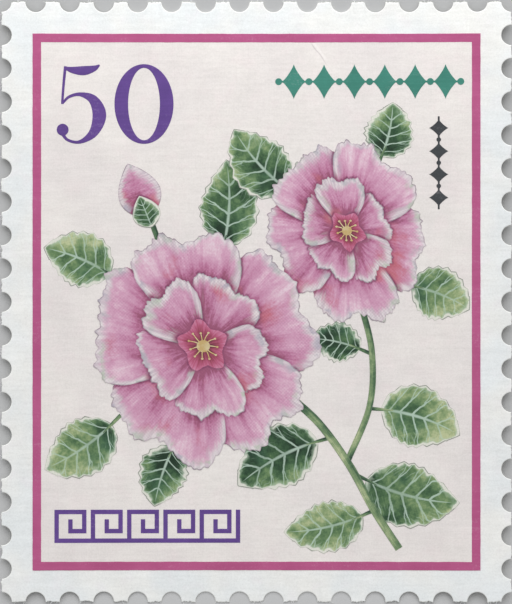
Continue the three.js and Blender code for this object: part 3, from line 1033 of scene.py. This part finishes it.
def torn_fibres():
    """Fibres that stand out of the torn tips: one bent fibre, copied."""
    curve = [(0, 0, 0.007), (0.06, 0.006, 0.006), (0.12, -0.004, 0.005), (0.17, 0.012, 0.003)]
    fibre = lay_stroke("fibre", curve, steps=5, faces_across=1)
    apply_modifier(fibre, "SOLIDIFY", thickness=FIBRE_THICKNESS, offset=0.0)
    levels = (GUM_TOP + FIBRE_COVER, PAPER_TOP - FIBRE_COVER)
    chance = random.Random(21)
    copies = []
    # A side's length and teeth, how far out it is, and the way along it. Its fibres head straight out.
    level_side = (WIDTH, PITCHES_ACROSS, HALF_HEIGHT, Vector((1, 0)))
    upright_side = (HEIGHT, PITCHES_UP, HALF_WIDTH, Vector((0, 1)))
    for heading, side in ((90, level_side), (-90, level_side), (0, upright_side), (180, upright_side)):
        length, teeth, reach, way = side
        root = direction(heading) * (reach - FIBRE_ROOT)
        for tooth in range(teeth):
            middle = -length / 2 + (tooth + 0.5) * length / teeth
            for _ in range(chance.choice(FIBRES_AT_TIP)):
                place = root + way * (middle + chance.uniform(-FIBRE_SPREAD, FIBRE_SPREAD))
                lean = math.radians(chance.gauss(0, FIBRE_LEAN) + heading)
                copies.append(copy_to(fibre, *place, lean, chance.uniform(*FIBRE_SIZES)))
                lay_on_curl(copies[-1], chance.uniform(*levels))
    bpy.data.objects.remove(fibre)
    return join(copies, "torn_fibres")


hand_over(perforated_sheet("stamp_gum", 0, GUM_TOP, rounded=False), "gum", "gum")
hand_over(perforated_sheet("stamp_sheet", GUM_TOP, PAPER_TOP, rounded=True), "paper", "paper")
hand_over(torn_fibres(), "paper")

# ---- Panel and frame ----


def cream_panel():
    reach_x = FRAME_X - FRAME_LINE + TINT_UNDER_FRAME
    reach_y = FRAME_Y - FRAME_LINE + TINT_UNDER_FRAME
    panel = flat_bar("cream_panel", -reach_x, -reach_y, reach_x, reach_y)
    cut_in_strips(panel)
    return panel


def frame_rule():
    """The frame: a rectangle inset by the line's width, with its middle taken out and its edges wavering."""
    rule = flat_bar("frame_rule", -FRAME_X, -FRAME_Y, FRAME_X, FRAME_Y)
    edit(rule, "SELECT")
    bpy.ops.mesh.inset(thickness=FRAME_LINE)
    bpy.ops.mesh.delete(type="FACE")
    bisect_at(strips_between(-FRAME_X, FRAME_X), axis=0)
    bisect_at(strips_between(-FRAME_Y, FRAME_Y), axis=1)
    stop_editing()
    for vert in rule.data.vertices:
        x, y, _ = vert.co * 3
        vert.co += Vector((noise.noise(Vector((x, y, 1))), noise.noise(Vector((x, y, 6))), 0)) * FRAME_WAVER
    return rule


print_film(cream_panel(), TINT_TOP, "cream_ink", "panel_tint")
print_film(frame_rule(), INK_TOP, "magenta_ink", "frame_line")

# ---- Numeral ----


def digit_five():
    """A bowl, a stem, a flag and a ball, each a hair over the one before."""
    # Points of x, y and half width, counted from the digit's lower left.
    bowl = [(0.4, 1.78, 0.05), (0.72, 2.08, 0.06), (1.22, 2.18, 0.09), (1.78, 1.93, 0.21), (2.04, 1.26, 0.3)]
    bowl += [(1.78, 0.5, 0.2), (1.2, 0.09, 0.08), (0.66, 0.16, 0.06), (0.36, 0.5, 0.08)]
    stem = [(0.4, 1.76, 0.05), (0.46, 2.6, 0.055), (0.54, 3.42, 0.06)]
    flag = [(0.5, 3.36, 0.05), (0.85, 3.26, 0.14), (1.35, 3.23, 0.2), (1.8, 3.33, 0.13), (2.05, 3.48, 0.03)]
    strokes = [("bowl", bowl, 90, 4), ("stem", stem, 12, 2), ("flag", flag, 40, 4)]
    parts = []
    for name, points, steps, faces_across in strokes:
        placed = [(FIVE_LEFT + x, DIGIT_BASE + y, half) for x, y, half in points]
        parts.append(lay_stroke(name, placed, steps, faces_across))
    parts.append(flat_round("ball", 48, FIVE_LEFT + 0.42, DIGIT_BASE + 0.62, 0.26, 0.26))
    for order, part in enumerate(parts):
        set_height(part, order * HAIR)
    return join(parts, "figure_five")


def digit_zero():
    """Two ovals on one middle, with the stroke laid between them."""
    middle = Vector((ZERO_MIDDLE, DIGIT_BASE + DIGIT_HEIGHT / 2))
    steps = 96
    rows = []
    for i in range(steps + 1):
        way = direction(360 * (i % steps) / steps) * DIGIT_HEIGHT
        rows.append((middle + way * Vector(ZERO_INNER), middle + way * Vector(ZERO_OUTER)))
    return lay_rows("figure_zero", rows, 4)


print_film(digit_five(), INK_TOP, "violet_ink", "numeral_five")
print_film(digit_zero(), INK_TOP, "violet_ink", "numeral_zero")

# ---- Ornaments ----


def threaded_stars(name, string):
    """A thread with stars along it and a bead between each two: copies of one star and one bead."""
    start, end = (Vector(point) for point in string["ends"])
    step = (end - start) / string["stars"]
    half = Vector((step.y, step.x)).normalized() * HAIRLINE / 2
    thread = flat_bar("thread", *(start - half), *(end + half))
    star = flat_round("star", string["star_sides"], 0, 0, *string["star"], STAR_HOLLOW)
    bead = flat_round("bead", BEAD_SIDES, 0, 0, string["bead"], string["bead"])
    first = 0 if string["end_beads"] else 1
    beads = [start + step * i for i in range(first, string["stars"] + 1 - first)]
    stars = [start + step * (i + 0.5) for i in range(string["stars"])]
    parts = [thread]
    for model, places, height in ((bead, beads, 2 * HAIR), (star, stars, 4 * HAIR)):
        for place in places:
            parts.append(copy_to(model, *place))
            set_height(parts[-1], height)
        bpy.data.objects.remove(model)
    whole = join(parts, name)
    cut_in_strips(whole)
    return whole


def key_band():
    """A Greek key, cut from a bar along every line of the pattern and cleared between the lines."""
    left, right, bottom, height, keys, line = KEY_BAND.values()
    half = line / 2
    wide = (right - left - line) / keys
    foot = bottom + half
    head = bottom + height - half
    step = (head - foot) / 3
    bars = [((right - half, foot), (right - half, head))]
    for key in range(keys):
        x = left + half + key * wide
        far = x + KEY_FAR * wide
        near = x + KEY_NEAR * wide
        turns = [(x, foot), (x, head), (far, head)]
        turns += [(far, foot + step), (near, foot + step), (near, head - step)]
        bars += [*zip(turns, turns[1:]), ((x, foot), (x + wide, foot))]
    boxes = [
        (min(a[0], b[0]) - half, min(a[1], b[1]) - half, max(a[0], b[0]) + half, max(a[1], b[1]) + half)
        for a, b in bars
    ]
    band = flat_bar("key_border", left, bottom, right, bottom + height)
    edit(band)
    for axis in (0, 1):
        cuts = sorted({round(box[side], 6) for box in boxes for side in (axis, axis + 2)})
        bisect_at(cuts[1:-1], axis)
    bpy.ops.mesh.select_all(action="DESELECT")
    mesh = bmesh.from_edit_mesh(band.data)
    for face in mesh.faces:
        x, y, _ = face.calc_center_median()
        face.select = not any(box[0] < x < box[2] and box[1] < y < box[3] for box in boxes)
    bpy.ops.mesh.delete(type="FACE")
    stop_editing()
    cut_in_strips(band)
    return band


print_film(threaded_stars("star_border", STAR_BAND), INK_TOP, "teal_ink", "star_band")
print_film(threaded_stars("bead_string", BEAD_COLUMN), INK_TOP, "grey_ink", "bead_column")
print_film(key_band(), INK_TOP, "violet_ink", "key_band")

# ---- The spray, from its front to its back ----

spray = []
front_points = []


def print_spray(piece, paint, node, tone=0.5, hides=True):
    """Prints the next film behind those before it, noting how near each point is to what lies over it."""
    edge = outline_points(piece)
    own = nearest(edge)
    over = nearest(front_points) if front_points else None
    flat = [vert.co.to_2d().to_3d() for vert in piece.data.vertices]
    note(piece, "rim", [own.find(point)[2] for point in flat])
    note(piece, "overlap", [min(over.find(point)[2], FAR_OFF) if over else FAR_OFF for point in flat])
    note(piece, "tone", [tone] * len(flat))
    if hides:
        front_points.extend(edge)
    level = TINT_TOP + SPRAY_OVER_TINT + (FRONT_FILM - len(spray)) * FILM_STEP
    spray.append(piece)
    print_film(piece, level, paint, node)


def on_blossom(blossom, radius, degrees):
    """A place on a blossom, which is seen from a little to one side."""
    point = direction(degrees - blossom.lean) * radius
    lean = direction(blossom.lean)
    across = Vector((-lean.y, lean.x))
    return Vector(blossom.at) + lean * point.x * blossom.squash + across * point.y


def petal(blossom, ring, share, ring_turn, number):
    """A petal fans out from the heart, with a ruffled rim that dips in the middle."""
    reach = blossom.reach * share * (1 + PETAL_VARIES * math.sin(2.4 * number + blossom.turn))
    heading = blossom.turn + ring_turn + number * 360 / PETALS
    rows = []
    for i in range(1, PETAL_STEPS):
        across = -1 + 2 * i / PETAL_STEPS
        body = max(0.0, math.cos(math.pi / 2 * abs(across) ** PETAL_FULLNESS)) ** 0.5
        dip = 1 - DIP["depth"] * math.exp(-((across / DIP["width"]) ** 2))
        wave = 1 + RIM_WAVE["height"] * math.sin(RIM_WAVE["count"] * across + 1.7 * number)
        broad = noise.noise(Vector((across * 11, number * 3.1, share * 7)))
        small = noise.noise(Vector((across * 27, number * 5.7, share * 11)))
        pleat = abs(math.sin(31 * across + 3 * noise.noise(Vector((across * 4, number * 2.3, 5)))))
        pleat *= 0.6 + 0.8 * noise.noise(Vector((across * 5, number * 4.1, 9)))
        ruffle = 1 + RUFFLE["broad"] * broad + RUFFLE["small"] * small + RUFFLE["pleated"] * pleat
        rim = on_blossom(blossom, reach * body * dip * wave * ruffle, heading + PETAL_SPREAD * across)
        rows.append((blossom.at, rim))
    return lay_rows(f"{blossom.name}_{ring}_{number + 1}_wash", rows, PETAL_FACES[ring])


def eye(blossom):
    """A five-lobed eye with a slightly uneven edge."""
    steps = 80
    rows = []
    for i in range(steps + 1):
        degrees = 360 * (i % steps) / steps
        uneven = noise.noise((direction(degrees) * 6).to_3d() + Vector((0, 0, 2)))
        lobes = math.cos(math.radians(PETALS * degrees))
        radius = EYE_SHARE * blossom.reach * (1 + EYE_LOBES * lobes) * (1 + EYE_UNEVEN * uneven)
        rows.append((blossom.at, on_blossom(blossom, radius, degrees + blossom.turn)))
    return lay_rows(f"{blossom.name}_eye_wash", rows, 8)


def stamens(blossom):
    """Filaments with an anther at each end, round a small disc."""
    chance = random.Random(5)
    parts = []
    for i in range(STAMENS):
        degrees = i * 360 / STAMENS
        far = STAMEN_SHARE * blossom.reach * chance.uniform(SHORTEST_STAMEN, 1.0)
        heart = on_blossom(blossom, 0.1 * far, degrees)
        bend = on_blossom(blossom, 0.55 * far, degrees + chance.uniform(-STAMEN_BEND, STAMEN_BEND))
        end = on_blossom(blossom, far, degrees)
        parts.append(lay_stroke("filament", [(*heart, 0.026), (*bend, 0.022), (*end, 0.018)], steps=8))
        parts.append(flat_round("anther", 14, *end, *ANTHER))
    disc = [share * blossom.reach for share in DISC_SHARE]
    parts.append(flat_round("disc", 24, *blossom.at, *disc))
    for order, part in enumerate(parts):
        set_height(part, order * HAIR / 4)
    return join(parts, f"{blossom.name}_stamens_wash")


def blade(name, start, heading, length, width, bend, teeth, depth=0.0, outline=0.0):
    """A blade laid row by row along its bent midrib."""
    point = Vector(start)
    rows = []
    for i in range(BLADE_STEPS + 1):
        along = i / BLADE_STEPS
        turned = heading + bend * (along - 0.5)
        if i:
            point = point + direction(turned) * (length / BLADE_STEPS)
        arch = math.sin(math.pi * along**BLADE_WIDEST) ** BLADE_FULLNESS if 0 < along < 1 else 0.0
        tooth = 1 - abs(along * teeth * 2 % 2 - 1) if along < 1 - 0.75 / teeth else 0.0
        waver = 1 + 0.8 * noise.noise(Vector((point.x * 2, point.y * 2, 4)))
        half = width / 2 * arch + depth * tooth + outline * min(1.0, (1 - along) * 12, along * 12) * waver
        side = direction(turned + 90) * half
        rows.append((point + side, point - side))
    return lay_rows(name, rows, faces_across=22)


def leaf(number, start, heading, length, width, bend):
    """A stalk that runs a little way up the midrib, and the blade from where the stalk meets it."""
    way = direction(heading - bend / 2) * STALK
    foot = Vector(start) + way
    inside = foot + way
    half = STALK_WIDTH / 2
    through = [(*start, half), (*foot, half * 0.8), (*inside, half * 0.2)]
    stalk = lay_stroke(f"leaf_{number}_stalk", through, steps=14, faces_across=4)
    name = f"leaf_{number}_wash"
    return stalk, blade(name, foot, heading, length, width, bend, LEAF_TEETH, TOOTH_DEPTH, LEAF_OUTLINE)


for blossom in BLOSSOMS:
    print_spray(stamens(blossom), "straw_ink", f"{blossom.name}_stamens")
    print_spray(eye(blossom), "crimson_ink", f"{blossom.name}_eye")
    for ring, share, ring_turn in blossom.rings:
        ink = "pink_ink" if share < 1 else "rose_ink"
        for number in range(PETALS):
            made = petal(blossom, ring, share, ring_turn, number)
            tone = PETAL_TONE + TONE_STEP * number
            print_spray(made, ink, f"{blossom.name}_{ring}_{number + 1}", tone)

print_spray(blade("calyx_wash", *CALYX, teeth=4), "green_ink", "calyx", tone=0.3)
print_spray(blade("bud_wash", *BUD, teeth=6), "rose_ink", "bud", tone=0.6)
for stem_name, through, width in STEMS:
    points = [(x, y, width / 2) for x, y in through]
    stroke = lay_stroke(f"{stem_name}_wash", points, steps=60, faces_across=6)
    print_spray(stroke, "stem_ink", stem_name)
for number, (*shape, tone) in enumerate(LEAVES, start=1):
    stalk, made = leaf(number, *shape)
    print_spray(stalk, "stem_ink", f"leaf_{number}", tone, hides=False)
    print_spray(made, "green_ink", f"leaf_{number}", tone)

# ---- Table, light and camera ----


def lay_table():
    deselect_all()
    bpy.ops.mesh.primitive_plane_add(size=6)
    table = name_piece(bpy.context.object, "table")
    material = bpy.data.materials.new("table_top")
    material.use_nodes = True
    shader = node_of(material.node_tree, "BSDF_PRINCIPLED")
    feed(shader.inputs["Base Color"], "#c9cacb")
    feed(shader.inputs["Roughness"], 0.9)
    table.data.materials.append(material)


def place_in_scene(name, data, place):
    holder = bpy.data.objects.new(name, data)
    bpy.context.collection.objects.link(holder)
    holder.location = place
    return holder


def hang_lamp(name, kind, place, target, power):
    """A white lamp at its place, turned to its target, and its holder."""
    lamp = bpy.data.lights.new(name, kind)
    lamp.energy = power
    holder = place_in_scene(name, lamp, place)
    holder.rotation_euler = (Vector(place) - Vector(target)).to_track_quat("Z", "Y").to_euler()
    holder.visible_camera = False
    return lamp, holder


def light_room():
    """An even white room, a broad soft light from past the design's top, and a strip light close to it."""
    world = bpy.data.worlds.new("studio")
    world.use_nodes = True
    background = node_of(world.node_tree, "BACKGROUND")
    feed(background.inputs["Color"], "#ffffff")
    feed(background.inputs["Strength"], 0.5)
    bpy.context.scene.world = world

    broad, _ = hang_lamp("broad_light", "SUN", (0, 0.5, 0.6), (0, 0, 0), 1.43)
    broad.angle = math.radians(50)

    strip, holder = hang_lamp("strip_light", "AREA", (0, 0.024, 0.008), (0, HALF_HEIGHT * MM, 0), 0.00122)
    strip.shape = "RECTANGLE"
    strip.size = 0.07
    strip.size_y = 0.005
    strip.spread = math.radians(100)
    # It is flagged off the table, where it would leave a streak.
    lit = bpy.data.collections.new("lit_by_strip")
    for piece in made_pieces:
        lit.objects.link(piece)
    holder.light_linking.receiver_collection = lit


def set_camera():
    """Looks straight down on the face, with the design upright."""
    lens = bpy.data.cameras.new("camera")
    lens.sensor_fit = "HORIZONTAL"
    lens.sensor_width = 36
    lens.lens = 300
    lens.clip_start = 0.005
    lens.clip_end = 20
    shown_width = 22.63 * MM
    face = 0.12 * MM
    height = face + shown_width * lens.lens / lens.sensor_width
    bpy.context.scene.camera = place_in_scene("camera", lens, (-0.02 * MM, 0, height))


lay_table()
light_room()
set_camera()
bpy.context.scene.view_settings.view_transform = "Standard"
